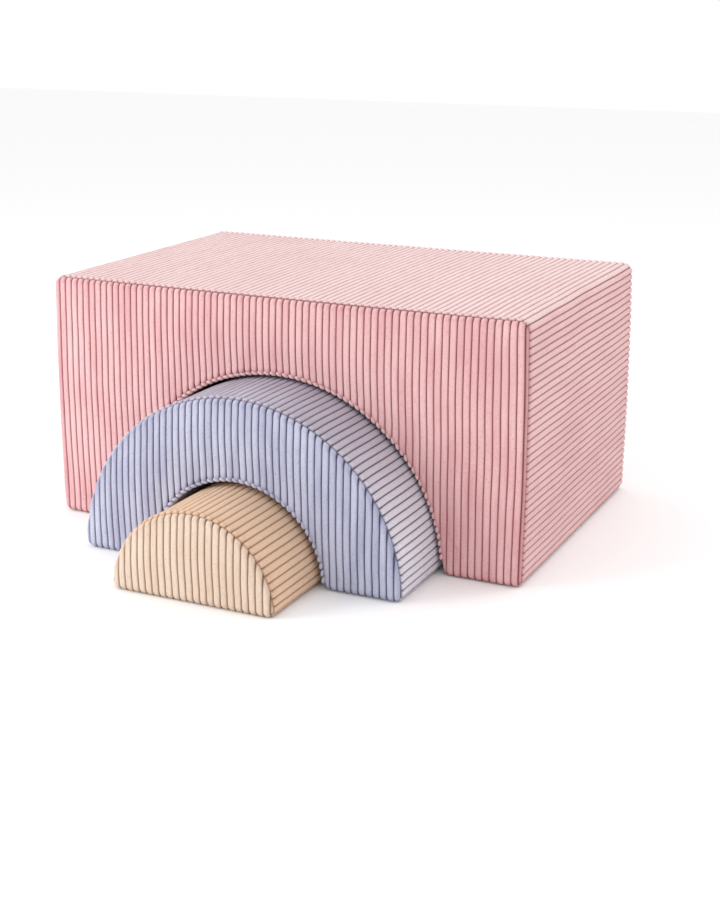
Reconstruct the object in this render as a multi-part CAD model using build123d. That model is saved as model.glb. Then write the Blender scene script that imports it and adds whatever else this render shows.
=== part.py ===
from build123d import *
from collections import namedtuple
import math
import os

# A nesting foam play set: a block with a half-round tunnel, an arch that fits the
# tunnel, and a half-round that fits the arch. Each is a foam core in an inner liner
# and a sewn, ribbed cover that zips off at the back.
#
# Millimetres, +Z up. The set's front faces -Y. The origin is on the floor, at the
# middle of the set as it stands with each piece drawn out one step.

# Overall sizes
BLOCK_WIDTH = 750.0
BLOCK_HEIGHT = 370.0
PIECE_DEPTH = 490.0
TUNNEL_RADIUS = 258.0
ARCH_HOLLOW_RADIUS = 135.0
PULL_OUT = 120.0

# Clearances between the nested pieces
ARCH_CLEARANCE = 7.0
HALF_ROUND_CLEARANCE = 10.0

# Edges: sewn front and back edges, folded top corners, fuller corners at the feet
EDGE_RADIUS = 10.0
FOLD_RADIUS = 14.0
FOOT_FULLNESS = 2.0

# Layers, from the outside in
COVER = 4.0
EASE = 0.3
LINER = 0.8

# Seams: how far in from a face the seam runs, and the thread that lies in it
SEAM_SETBACK = 6.0
THREAD = 0.8

# Zips
ZIP_PLAY = 0.35
TAPE = 0.6
TAPE_SEWN = 5.0
COIL_HEIGHT = 1.4
COIL_WIDTH = 2.0
COIL_GAP = 1.4
STOP_LENGTH = 3.0
STOP_SETBACK = 1.0
SLIDER_LENGTH = 12.0
SLIDER_PLATE = 1.0
SLIDER_FLANGE = 1.0
SLOT_EASE = 1.1
BLOCK_ZIP_MARGIN = 65.0
ARCH_ZIP_END_ANGLE = 15.0
HALF_ROUND_ZIP_HEIGHT = 42.0
HALF_ROUND_ZIP_MARGIN = 30.0

# Pull tabs
LUG_LENGTH = 4.0
LUG_WIDTH = 2.4
LUG_WALL = 0.8
PULL_BAR = 1.3
PULL_ARM = 1.2
PULL_LENGTH = 24.0
PULL_WIDTH = 7.0
PULL_EYE = 3.0
PULL_WINDOW = 5.0

# Care labels: blank cloth tags that lie flat on the back
LABEL_WIDTH = 28.0
LABEL_HEIGHT = 42.0
LABEL_THICKNESS = 0.4
LABEL_LIFT = 2.0

# Sizes that follow
ARCH_RADIUS = TUNNEL_RADIUS - ARCH_CLEARANCE
HALF_ROUND_RADIUS = ARCH_HOLLOW_RADIUS - HALF_ROUND_CLEARANCE
FOOT_RADIUS = EDGE_RADIUS + FOOT_FULLNESS
LINER_INSET = COVER + EASE
CORE_INSET = LINER_INSET + LINER + EASE
SET_DEPTH = PIECE_DEPTH + 2 * PULL_OUT
BLOCK_FRONT = SET_DEPTH / 2 - PIECE_DEPTH
ARCH_FRONT = BLOCK_FRONT - PULL_OUT
HALF_ROUND_FRONT = ARCH_FRONT - PULL_OUT
BEYOND = 2 * (BLOCK_WIDTH + SET_DEPTH)

# Depths of the zip's layers, measured inwards from the back face
INNER_PLATE_DEPTHS = (COVER - SLIDER_PLATE, COVER)
TAPE_DEPTHS = (INNER_PLATE_DEPTHS[0] - ZIP_PLAY - TAPE, INNER_PLATE_DEPTHS[0] - ZIP_PLAY)
COIL_DEPTHS = (TAPE_DEPTHS[0] - COIL_HEIGHT, TAPE_DEPTHS[0])
FLANGE_DEPTHS = (COIL_DEPTHS[0] - ZIP_PLAY, COIL_DEPTHS[1] - ZIP_PLAY)
OUTER_PLATE_DEPTHS = (FLANGE_DEPTHS[0] - SLIDER_PLATE, FLANGE_DEPTHS[0])

# Places across the zip, measured from its middle line
COIL_INNER = COIL_GAP / 2
COIL_OUTER = COIL_INNER + COIL_WIDTH
WEB_HALF = COIL_INNER - ZIP_PLAY
FLANGE_INNER = COIL_OUTER + ZIP_PLAY
SLIDER_HALF = FLANGE_INNER + SLIDER_FLANGE
SLOT_HALF = SLIDER_HALF + SLOT_EASE
TAPE_OUTER = SLOT_HALF + TAPE_SEWN
COIL_SETBACK = STOP_SETBACK + STOP_LENGTH
SLIDER_SETBACK = COIL_SETBACK + ZIP_PLAY + SLIDER_LENGTH / 2

# Pull tab on its lug
LUG_HOLE = PULL_BAR + 2 * ZIP_PLAY
PULL_AXIS_HEIGHT = LUG_WALL + LUG_HOLE / 2

Piece = namedtuple("Piece", "name outline front")


# --- Outlines in the XZ plane, drawn in by an inset -------------------------------


def above_floor(face, inset):
    """The part of a face that is at least the inset above the floor."""
    return face - Pos(0, inset - BEYOND / 2) * Rectangle(BEYOND, BEYOND)


def round_feet(face, inset):
    """Rounds the corners where an outline meets the floor."""
    return fillet(face.vertices().group_by(Axis.Y)[0], FOOT_RADIUS - inset)


def block_outline(inset):
    width = BLOCK_WIDTH - 2 * inset
    height = BLOCK_HEIGHT - 2 * inset
    face = Pos(0, BLOCK_HEIGHT / 2) * Rectangle(width, height) - Circle(TUNNEL_RADIUS + inset)
    face = fillet(face.vertices().group_by(Axis.Y)[-1], FOLD_RADIUS - inset)
    return round_feet(face, inset)


def arch_outline(inset):
    ring = Circle(ARCH_RADIUS - inset) - Circle(ARCH_HOLLOW_RADIUS + inset)
    return round_feet(above_floor(ring, inset), inset)


def half_round_outline(inset):
    disc = Circle(HALF_ROUND_RADIUS - inset)
    return round_feet(above_floor(disc, inset), inset)


# --- Solids common to the three pieces ---------------------------------------------


def between(low_y, high_y):
    """Everything from one Y to another."""
    return Pos(0, (low_y + high_y) / 2, 0) * Box(BEYOND, high_y - low_y, BEYOND)


def under(height):
    """Everything below a height."""
    return Pos(0, 0, height - BEYOND / 2) * Box(BEYOND, BEYOND, BEYOND)


def prism(face, low_y, high_y):
    """A face in the XZ plane, run from one Y to another."""
    return Pos(0, low_y, 0) * extrude(Plane.XZ * face, amount=low_y - high_y)


def layer(piece, inset):
    """The whole piece drawn in by an inset, with its front and back edges rounded."""
    back = piece.front + PIECE_DEPTH
    solid = prism(piece.outline(inset), piece.front + inset, back - inset)
    faces = solid.faces().sort_by(Axis.Y)
    rims = faces[0].edges() + faces[-1].edges()
    return fillet(rims, EDGE_RADIUS - inset)


def thread_ring(piece):
    """The outline of the stitching, halfway through the cover."""
    return piece.outline((COVER - THREAD) / 2) - piece.outline((COVER + THREAD) / 2)


def foam_core(piece):
    return layer(piece, CORE_INSET)


def inner_liner(piece):
    return layer(piece, LINER_INSET) - layer(piece, LINER_INSET + LINER)


def seam_threads(piece):
    """Thread rings in the front and back seams, and thread runs beside each foot."""
    ring = thread_ring(piece)
    front_seam = piece.front + SEAM_SETBACK
    back_seam = piece.front + PIECE_DEPTH - SEAM_SETBACK
    half = THREAD / 2
    lengthwise = prism(ring, front_seam + half, back_seam - half)
    foot_slice = under(SEAM_SETBACK + half) - under(SEAM_SETBACK - half)
    return {
        "seam_thread_front": prism(ring, front_seam - half, front_seam + half),
        "seam_thread_back": prism(ring, back_seam - half, back_seam + half),
        "seam_thread_feet": lengthwise & foot_slice,
    }


def cover_parts(piece):
    """The cover cut at its seams: front, back, the bands round it, and the feet."""
    half = THREAD / 2
    back = piece.front + PIECE_DEPTH
    front_cut = piece.front + SEAM_SETBACK
    back_cut = back - SEAM_SETBACK
    cover = layer(piece, 0.0) - layer(piece, COVER)
    middle = cover & between(front_cut + half, back_cut - half)
    bands = (middle - under(SEAM_SETBACK + half)).solids()
    feet = (middle & under(SEAM_SETBACK - half)).solids()
    return {
        "front": cover & between(piece.front - COVER, front_cut - half),
        "back": cover & between(back_cut + half, back + COVER),
        "bands": bands.sort_by(lambda solid: solid.bounding_box().max.Z, reverse=True),
        "feet": feet.sort_by(Axis.X),
    }


# --- Zips -------------------------------------------------------------------------


class StraightZip:
    """A zip that runs along X across the back of a piece."""

    def __init__(self, length, height, back):
        self.length = length
        self.height = height
        self.back = back

    def strip(self, across, depths, along):
        """A bar given by its places across the zip, into the cover, and along it."""
        size_x = along[1] - along[0]
        size_y = depths[1] - depths[0]
        size_z = across[1] - across[0]
        middle_x = (along[0] + along[1]) / 2
        middle_y = self.back - (depths[0] + depths[1]) / 2
        middle_z = self.height + (across[0] + across[1]) / 2
        return Pos(middle_x, middle_y, middle_z) * Box(size_x, size_y, size_z)

    def place(self, shape, along):
        return Pos(along, self.back, self.height) * shape

    def inner_side(self):
        """Everything on the floor side of the zip's middle line."""
        return under(self.height)


class ArcZip:
    """A zip that runs round an arc centred on the floor line, over the top."""

    def __init__(self, length, radius, back):
        self.length = length
        self.radius = radius
        self.back = back

    def strip(self, across, depths, along):
        start = 90 - math.degrees(along[0] / self.radius)
        sweep = -math.degrees((along[1] - along[0]) / self.radius)
        inner = CenterArc((0, 0), self.radius + across[0], start, sweep)
        outer = CenterArc((0, 0), self.radius + across[1], start, sweep)
        ends = [Line(inner @ 0, outer @ 0), Line(inner @ 1, outer @ 1)]
        face = make_face([inner, outer] + ends)
        return prism(face, self.back - depths[1], self.back - depths[0])

    def place(self, shape, along):
        turn = math.degrees(along / self.radius)
        return Rot(0, turn, 0) * (Pos(0, self.back, self.radius) * shape)

    def inner_side(self):
        """Everything inside the zip's middle arc."""
        return prism(Circle(self.radius), self.back - PIECE_DEPTH, self.back + COVER)


def both_sides(zip_line, across, depths, along):
    """The same strip on both sides of the zip's middle line."""
    near = zip_line.strip(across, depths, along)
    far = zip_line.strip((-across[1], -across[0]), depths, along)
    return [near, far]


def zip_tapes(zip_line):
    half = zip_line.length / 2
    return Compound(both_sides(zip_line, (COIL_INNER, TAPE_OUTER), TAPE_DEPTHS, (-half, half)))


def zip_coils(zip_line):
    half = zip_line.length / 2 - COIL_SETBACK
    return Compound(both_sides(zip_line, (COIL_INNER, COIL_OUTER), COIL_DEPTHS, (-half, half)))


def zip_stops(zip_line):
    """A stop across both coil halves at each end, sunk to the tapes."""
    end = zip_line.length / 2 - STOP_SETBACK
    across = (-COIL_OUTER, COIL_OUTER)
    depths = (COIL_DEPTHS[0] - ZIP_PLAY, COIL_DEPTHS[1])
    start_stop = zip_line.strip(across, depths, (-end, STOP_LENGTH - end))
    end_stop = zip_line.strip(across, depths, (end - STOP_LENGTH, end))
    return Compound([start_stop, end_stop])


def zip_slider(zip_line):
    """Two plates joined by a web between the coil halves, with a lug for the pull."""
    plates = []
    half = SLIDER_LENGTH / 2
    for low, high in (OUTER_PLATE_DEPTHS, INNER_PLATE_DEPTHS):
        plate = extrude(RectangleRounded(SLIDER_LENGTH, 2 * SLIDER_HALF, SLIDER_HALF / 2), high - low)
        plates.append(Pos(0, -low, 0) * Rot(90, 0, 0) * plate)
    web_depth = INNER_PLATE_DEPTHS[0] - OUTER_PLATE_DEPTHS[1]
    web_middle = (INNER_PLATE_DEPTHS[0] + OUTER_PLATE_DEPTHS[1]) / 2
    web = Pos(0, -web_middle, 0) * Box(half, web_depth, 2 * WEB_HALF)
    flange_depth = FLANGE_DEPTHS[1] - FLANGE_DEPTHS[0]
    flange_middle = (FLANGE_DEPTHS[0] + FLANGE_DEPTHS[1]) / 2
    flange_across = (FLANGE_INNER + SLIDER_HALF) / 2
    flange = Box(half, flange_depth, SLIDER_FLANGE)
    body = plates[0] + plates[1] + web
    for side in (-1, 1):
        body += Pos(0, -flange_middle, side * flange_across) * flange
    return zip_line.place(body + pull_lug(), SLIDER_SETBACK - zip_line.length / 2)


def pull_lug():
    """A rounded lug on the outer plate, with a hole across it for the pull's bar."""
    base = -OUTER_PLATE_DEPTHS[0]
    axis_y = base + PULL_AXIS_HEIGHT
    block = Pos(0, (base + axis_y) / 2, 0) * Box(LUG_LENGTH, PULL_AXIS_HEIGHT, LUG_WIDTH)
    crown = Pos(0, axis_y, 0) * Cylinder(LUG_LENGTH / 2, LUG_WIDTH)
    hole = Pos(0, axis_y, 0) * Cylinder(LUG_HOLE / 2, 2 * LUG_WIDTH)
    return block + crown - hole


def zip_pull(zip_line):
    """A tab whose two arms straddle the lug, joined by the bar through its hole."""
    axis_y = PULL_AXIS_HEIGHT - OUTER_PLATE_DEPTHS[0]
    arm_inner = LUG_WIDTH / 2 + ZIP_PLAY
    arm_outer = arm_inner + PULL_ARM
    window_end = LUG_LENGTH / 2 + PULL_WINDOW
    outline = Pos(PULL_LENGTH / 2, 0) * RectangleRounded(
        PULL_LENGTH, PULL_WIDTH, PULL_WIDTH / 2 - ZIP_PLAY
    )
    neck = Rectangle(2 * window_end, 2 * arm_outer)
    blade = outline & Pos(window_end + BEYOND / 2, 0) * Rectangle(BEYOND, BEYOND)
    arms = neck & Pos(BEYOND / 2, 0) * Rectangle(BEYOND, BEYOND)
    window = Pos(window_end / 2, 0) * Rectangle(window_end, 2 * arm_inner)
    eye = Pos(PULL_LENGTH - PULL_WIDTH / 2, 0) * Circle(PULL_EYE / 2)
    plate = extrude(blade + arms - window - eye, PULL_BAR / 2, both=True)
    bar = Cylinder(PULL_BAR / 2, 2 * arm_outer)
    tab = Rot(90, 0, 0) * plate + bar
    return zip_line.place(Pos(0, axis_y, 0) * tab, SLIDER_SETBACK - zip_line.length / 2)


def zip_parts(zip_line):
    return {
        "zip_tapes": zip_tapes(zip_line),
        "zip_coils": zip_coils(zip_line),
        "zip_stops": zip_stops(zip_line),
        "zip_slider": zip_slider(zip_line),
        "zip_pull": zip_pull(zip_line),
    }


def split_back(back_panel, zip_line):
    """The back panel on each side of the zip, with its slot and the tapes let in."""
    half = zip_line.length / 2
    slot = zip_line.strip((-SLOT_HALF, SLOT_HALF), (-COVER, 2 * COVER), (-half, half))
    opened = back_panel - slot - zip_tapes(zip_line)
    return opened - zip_line.inner_side(), opened & zip_line.inner_side()


def care_label(piece, middle_x, base_z):
    """A blank tag flat on the back."""
    back = piece.front + PIECE_DEPTH
    middle_z = base_z + LABEL_LIFT + LABEL_HEIGHT / 2
    tag = Box(LABEL_WIDTH, LABEL_THICKNESS, LABEL_HEIGHT)
    return Pos(middle_x, back + LABEL_THICKNESS / 2, middle_z) * tag


# --- The three pieces ---------------------------------------------------------------


def common_nodes(piece, cover, zip_line, back_names):
    nodes = {"foam_core": foam_core(piece), "inner_liner": inner_liner(piece)}
    nodes["front_panel"] = cover["front"]
    outer_back, inner_back = split_back(cover["back"], zip_line)
    nodes[back_names[0]] = outer_back
    nodes[back_names[1]] = inner_back
    nodes.update(seam_threads(piece))
    nodes.update(zip_parts(zip_line))
    return nodes


def block_nodes():
    piece = Piece("block", block_outline, BLOCK_FRONT)
    cover = cover_parts(piece)
    zip_length = BLOCK_WIDTH - 2 * BLOCK_ZIP_MARGIN
    zip_height = (BLOCK_HEIGHT + TUNNEL_RADIUS) / 2
    zip_line = StraightZip(zip_length, zip_height, piece.front + PIECE_DEPTH)
    nodes = common_nodes(piece, cover, zip_line, ("back_panel_upper", "back_panel_lower"))
    nodes["outer_band"], nodes["tunnel_lining"] = cover["bands"]
    nodes["foot_panel_left"], nodes["foot_panel_right"] = cover["feet"]
    label_x = (BLOCK_WIDTH / 2 + TUNNEL_RADIUS) / 2
    nodes["care_label"] = care_label(piece, label_x, EDGE_RADIUS)
    return nodes, zip_line


def arch_nodes():
    piece = Piece("arch", arch_outline, ARCH_FRONT)
    cover = cover_parts(piece)
    zip_radius = (ARCH_RADIUS + ARCH_HOLLOW_RADIUS) / 2
    zip_length = zip_radius * math.radians(180 - 2 * ARCH_ZIP_END_ANGLE)
    zip_line = ArcZip(zip_length, zip_radius, piece.front + PIECE_DEPTH)
    nodes = common_nodes(piece, cover, zip_line, ("back_panel_outer", "back_panel_inner"))
    nodes["outer_band"], nodes["inner_band"] = cover["bands"]
    nodes["foot_panel_left"], nodes["foot_panel_right"] = cover["feet"]
    label_top = EDGE_RADIUS + LABEL_LIFT + LABEL_HEIGHT
    flat_end = math.sqrt((ARCH_RADIUS - EDGE_RADIUS) ** 2 - label_top**2)
    label_x = (zip_radius + SLOT_HALF + flat_end) / 2
    nodes["care_label"] = care_label(piece, label_x, EDGE_RADIUS)
    return nodes, zip_line


def half_round_nodes():
    piece = Piece("half_round", half_round_outline, HALF_ROUND_FRONT)
    cover = cover_parts(piece)
    half_chord = math.sqrt(HALF_ROUND_RADIUS**2 - HALF_ROUND_ZIP_HEIGHT**2)
    zip_length = 2 * (half_chord - HALF_ROUND_ZIP_MARGIN)
    zip_line = StraightZip(zip_length, HALF_ROUND_ZIP_HEIGHT, piece.front + PIECE_DEPTH)
    nodes = common_nodes(piece, cover, zip_line, ("back_panel_upper", "back_panel_lower"))
    nodes["outer_band"] = cover["bands"][0]
    nodes["base_panel"] = cover["feet"][0]
    nodes["care_label"] = care_label(piece, 0.0, HALF_ROUND_ZIP_HEIGHT + SLOT_HALF)
    return nodes, zip_line


def write_all():
    os.makedirs("parts", exist_ok=True)
    makers = (("block", block_nodes), ("arch", arch_nodes), ("half_round", half_round_nodes))
    for name, make in makers:
        nodes, zip_line = make()
        for node, shape in nodes.items():
            export_step(shape, f"parts/{name}_{node}.step")
        travel = zip_line.length - 2 * SLIDER_SETBACK
        print(f"{name}: {len(nodes)} nodes, zip {zip_line.length:.1f} long, travel {travel:.1f}")


write_all()
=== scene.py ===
import math
import bpy
import numpy as np
from collections import namedtuple
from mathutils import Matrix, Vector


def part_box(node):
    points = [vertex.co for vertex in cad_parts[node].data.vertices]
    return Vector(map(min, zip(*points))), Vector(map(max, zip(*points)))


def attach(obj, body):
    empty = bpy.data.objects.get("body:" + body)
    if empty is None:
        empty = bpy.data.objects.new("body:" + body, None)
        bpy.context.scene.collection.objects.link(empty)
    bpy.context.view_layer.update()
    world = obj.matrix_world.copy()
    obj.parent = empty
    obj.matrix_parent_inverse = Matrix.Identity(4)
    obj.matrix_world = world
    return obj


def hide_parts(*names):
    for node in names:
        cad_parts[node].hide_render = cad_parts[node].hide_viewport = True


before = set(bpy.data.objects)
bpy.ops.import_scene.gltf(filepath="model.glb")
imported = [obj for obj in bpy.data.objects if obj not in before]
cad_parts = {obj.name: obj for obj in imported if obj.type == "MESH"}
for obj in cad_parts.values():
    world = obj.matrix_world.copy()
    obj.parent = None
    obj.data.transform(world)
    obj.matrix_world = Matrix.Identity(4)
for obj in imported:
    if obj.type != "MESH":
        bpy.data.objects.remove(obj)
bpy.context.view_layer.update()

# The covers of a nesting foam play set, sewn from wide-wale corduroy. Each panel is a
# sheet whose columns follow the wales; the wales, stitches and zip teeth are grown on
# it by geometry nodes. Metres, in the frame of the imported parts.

# --- Sizes of the cloth and its making ------------------------------------------------

# The wales, the room between the pieces, their rounded edges and seams, and how far the
# block's top sags and its sides belly
WALE_PITCH = 0.0105
COLUMNS_PER_WALE = 9
GROOVE_PULL = 0.72
ARCH_CLEARANCE = 0.007
HALF_ROUND_CLEARANCE = 0.010
EDGE_RADIUS = 0.010
FOOT_RADIUS = 0.012
FOLD_RADIUS = 0.014
SEAM_SETBACK = 0.006
SEAM_INSET = EDGE_RADIUS - math.sqrt(EDGE_RADIUS**2 - (EDGE_RADIUS - SEAM_SETBACK) ** 2)
TOP_SAG = 0.0016
SAG_FROM = 0.325
SIDE_BELLY = 0.0020
BELLY_FROM = 0.30

# The rows of a sheet: their places beside a seam, how far apart they are elsewhere, and
# how deep its turned-in edge goes
NEAR_SEAM = np.array(
    [0.0, 0.0005, 0.0011, 0.0019, 0.0029, 0.0041, 0.0056, 0.0075, 0.0098, 0.013]
)
ROW_STEP = 0.009
SQUEEZED_ROW_STEP = 0.0012
FEWEST_ROWS = 4
TUCK_DEPTH = 0.0035

# Beside a seam: the brushed edge, the ditch and the roll, each by its distance from the
# seam and its width; and how the lumps shift from wale to wale and come along one
EDGE_INSET, EDGE_WIDTH = 0.0035, 0.0050
DITCH_WIDTH = 0.0016
ROLL_INSET, ROLL_WIDTH = 0.0050, 0.0034
LUMP_SHIFT = 3.7
LUMPS_PER_METRE = 34.0

# How far the cover may swell over its foam, and the coarse cloth that finds it
FACE_SWELL = 0.0030
BAND_SWELL = 0.0018
LINING_SWELL = 0.0010
CLOTH_STEP = 0.016
CLOTH_FRAMES = 20
CLOTH_PRESSURE = 4.0

# The zips, the same on all three pieces: the slot in the cloth, its folded lip, how soon
# its ends close, and the coils inside it
SLOT_HALF = 0.00515
LIP = 0.0005
SLOT_TAPER = 0.003
TAPER_STEPS = np.array([1.0, 0.5, 0.0])
ARC_HALF_ANGLE = math.radians(75.0)
COIL_SETBACK = 0.0040
COIL_INNER = 0.0007
COIL_OUTER = 0.0027
TOOTH_PITCH = 0.0016
TOOTH_LENGTH = 0.0010
ZIP_LINE_POINTS = 160

# Where the cloth lies flat: round a label, and beside a zip so that its pull can turn over
LABEL_EASE = 0.003
LABEL_REACH = 0.030
LABEL_PRESS = 0.0007
PARTED_REACH = 0.012
ZIP_FLAT_START = 0.010
ZIP_FLAT_END = 0.024

# Stitches: along the tapes, and in from a label's edge
STITCH_PITCH = 0.0034
STITCH_IN_TAPE = 0.0026
STITCH_STANDS_OFF = 0.0001
STITCHES_STOP_SHORT = 0.002
LABEL_STITCH_INSET = 0.002
LABEL_STITCH_LENGTH = 0.002

# Beads round the hollows' edges: how far in from the face and back from the lining, how
# far down each side they reach, and the size of one
BEAD_DEPTH = 0.0052
BEAD_SINK = 0.0010
BEAD_REACH = math.radians(84)
BEAD_LINE_POINTS = 240
BEAD_SIZE = {"pitch": 0.0098, "length": 0.0112, "width": 0.0066, "height": 0.0096}
BEAD_SLANT = 0.45
BEAD_SIDES = 14

# Sheets: the steepest lean of an edge before its seam, the small gaps left at ends and
# corners, how far each seed shifts the wales, and the step that finds an edge's direction
STEEPEST_LEAN = 0.93
END_GAP = 0.0004
CORNER_EASE = 0.0001
COLUMN_EASE = 0.0003
FACE_PHASE = 0.003
BAND_PHASE = 0.004
FRONT, BACK = -1, 1
DRIFT = 0.0005
FOOT_DRIFT = 0.0003
SLOPE_STEP = 0.0002
SMALLEST = 1e-9

# Where a wale is held straight and where it may wander: from a seam, a face's edge, a
# zip, a band's ends and its sides. Then how far above the floor a seam's roll is full.
HELD = 0.001
FREE_IN_FACE = 0.022
FREE_BY_ZIP = 0.02
FREE_IN_BAND = 0.03
FREE_BY_SIDE = 0.02
FACE_ROLL_FROM, FACE_ROLL_FULL = 0.010, 0.035
BAND_ROLL_FROM, BAND_ROLL_FULL = 0.004, 0.020

# --- Places read from the frame -------------------------------------------------------


def low(node):
    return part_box(node)[0]


def high(node):
    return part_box(node)[1]


BLOCK_HALF = high("block_outer_band")[0]
BLOCK_HEIGHT = high("block_outer_band")[2]
ARCH_RADIUS = high("arch_outer_band")[2]
TUNNEL_RADIUS = ARCH_RADIUS + ARCH_CLEARANCE
HALF_ROUND_RADIUS = high("half_round_outer_band")[2]
HOLLOW_RADIUS = HALF_ROUND_RADIUS + HALF_ROUND_CLEARANCE

Ends = namedtuple("Ends", "front back")
BLOCK_ENDS = Ends(low("block_front_panel")[1], high("block_back_panel_upper")[1])
ARCH_ENDS = Ends(low("arch_front_panel")[1], high("arch_back_panel_outer")[1])
HALF_ROUND_ENDS = Ends(
    low("half_round_front_panel")[1], high("half_round_back_panel_upper")[1]
)

# --- Small shared sums ----------------------------------------------------------------


def smooth(value, start, end):
    t = np.clip((value - start) / (end - start), 0.0, 1.0)
    return t * t * (3.0 - 2.0 * t)


def rounded_corner(a, b, radius):
    """Distance to the edge near a rounded corner, from the distances to its two sides."""
    inner = np.hypot(np.maximum(radius - a, 0.0), np.maximum(radius - b, 0.0))
    return np.where((a < radius) & (b < radius), radius - inner, np.minimum(a, b))


def arc_height(radius, reach):
    return np.sqrt(np.maximum(radius**2 - reach**2, 0.0))


def corner_beside(radius, side):
    """How far out a foot corner's centre lies beside an arc of this radius: side is 1
    outside the arc and -1 inside it."""
    return math.sqrt((radius + side * FOOT_RADIUS) ** 2 - FOOT_RADIUS**2)


def sway(across, along, size, seed):
    """A slow sideways wander of the wales, as cut cloth has."""
    wander = 0.45 * np.sin(along / 0.034 + across / 0.21 + seed)
    wander += 0.35 * np.sin(along / 0.019 + across / 0.13 + 2.1 * seed)
    wander += 0.60 * np.sin(along / 0.075 - across / 0.30 + 0.7 * seed)
    return size * wander


def wale_columns(start, end, phase):
    """Places across the wales, closer together in the grooves, from start to end."""
    first = math.floor((start - phase) / WALE_PITCH)
    last = math.ceil((end - phase) / WALE_PITCH)
    turn = np.arange(first * COLUMNS_PER_WALE, last * COLUMNS_PER_WALE + 1) / COLUMNS_PER_WALE
    gathered = turn - GROOVE_PULL * np.sin(2 * math.pi * turn) / (2 * math.pi)
    places = phase + gathered * WALE_PITCH
    inside = places[(places > start + COLUMN_EASE) & (places < end - COLUMN_EASE)]
    return np.concatenate(([start], inside, [end]))


def row_places(length):
    """How far along its column each row lies, close together near both seams, for
    columns of these lengths. A short column's rows are squeezed together."""
    steps = max(int(round((np.max(length) - 2 * NEAR_SEAM[-1]) / ROW_STEP)), FEWEST_ROWS)
    squeeze = np.minimum(1.0, length / (2 * NEAR_SEAM[-1] + steps * SQUEEZED_ROW_STEP))
    ends = NEAR_SEAM[:, None] * squeeze
    middle_start = ends[-1]
    middle = np.linspace(0.0, 1.0, steps + 1)[1:-1, None]
    centre = middle_start + middle * (length - 2 * middle_start)
    return np.vstack((ends, centre, length - ends[::-1]))


# --- Outlines of the three pieces, seen from the front --------------------------------


class FootedShape:
    """What the three outlines share: a flat base with rounded corners at the floor."""

    def outer_low(self, x, inset, centre):
        radius = FOOT_RADIUS - inset
        corner = FOOT_RADIUS - arc_height(radius, np.maximum(np.abs(x) - centre, 0.0))
        return np.where(np.abs(x) > centre, corner, inset)

    def hollow_low(self, x, inset, radius):
        """The underside over a half-round hollow, with the corner where it meets the floor."""
        centre = corner_beside(radius, 1)
        corner_radius = FOOT_RADIUS - inset
        meets = centre * (radius + inset) / (radius + FOOT_RADIUS)
        over = arc_height(radius + inset, x)
        corner = FOOT_RADIUS - arc_height(corner_radius, np.maximum(centre - np.abs(x), 0.0))
        under = np.where(np.abs(x) < meets, over, corner)
        return np.where(np.abs(x) < centre, under, inset)

    def round_high(self, x, inset, radius):
        centre = corner_beside(radius, -1)
        meets = centre * (radius - inset) / (radius - FOOT_RADIUS)
        over = arc_height(radius - inset, x)
        corner = FOOT_RADIUS + arc_height(FOOT_RADIUS - inset, np.abs(x) - centre)
        return np.where(np.abs(x) < meets, over, corner)


class BlockShape(FootedShape):
    body, dye, ends = "block", "pink", BLOCK_ENDS

    def limit(self, inset):
        return BLOCK_HALF - inset

    def low(self, x, inset):
        hollow = self.hollow_low(x, inset, TUNNEL_RADIUS)
        outer = self.outer_low(x, inset, BLOCK_HALF - FOOT_RADIUS)
        return np.maximum(hollow, outer)

    def high(self, x, inset):
        centre = BLOCK_HALF - FOLD_RADIUS
        drop = arc_height(FOLD_RADIUS - inset, np.maximum(np.abs(x) - centre, 0.0))
        return BLOCK_HEIGHT - FOLD_RADIUS + drop

    def edge_distance(self, x, z):
        side = BLOCK_HALF - np.abs(x)
        hollow = np.hypot(x, z) - TUNNEL_RADIUS
        top = rounded_corner(side, BLOCK_HEIGHT - z, FOLD_RADIUS)
        outer = rounded_corner(side, z, FOOT_RADIUS)
        return np.minimum(np.minimum(top, outer), rounded_corner(hollow, z, FOOT_RADIUS))


class ArchShape(FootedShape):
    body, dye, ends = "arch", "blue", ARCH_ENDS

    def limit(self, inset):
        return corner_beside(ARCH_RADIUS, -1) + FOOT_RADIUS - inset - CORNER_EASE

    def low(self, x, inset):
        hollow = self.hollow_low(x, inset, HOLLOW_RADIUS)
        outer = self.outer_low(x, inset, corner_beside(ARCH_RADIUS, -1))
        return np.maximum(hollow, outer)

    def high(self, x, inset):
        return self.round_high(x, inset, ARCH_RADIUS)

    def edge_distance(self, x, z):
        reach = np.hypot(x, z)
        outer = rounded_corner(ARCH_RADIUS - reach, z, FOOT_RADIUS)
        return np.minimum(outer, rounded_corner(reach - HOLLOW_RADIUS, z, FOOT_RADIUS))


class HalfRoundShape(FootedShape):
    body, dye, ends = "half_round", "sand", HALF_ROUND_ENDS

    def limit(self, inset):
        return corner_beside(HALF_ROUND_RADIUS, -1) + FOOT_RADIUS - inset - CORNER_EASE

    def low(self, x, inset):
        return self.outer_low(x, inset, corner_beside(HALF_ROUND_RADIUS, -1))

    def high(self, x, inset):
        return self.round_high(x, inset, HALF_ROUND_RADIUS)

    def edge_distance(self, x, z):
        return rounded_corner(HALF_ROUND_RADIUS - np.hypot(x, z), z, FOOT_RADIUS)


BLOCK, ARCH, HALF_ROUND = BlockShape(), ArchShape(), HalfRoundShape()

# --- Zip openings in the back panels --------------------------------------------------


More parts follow.
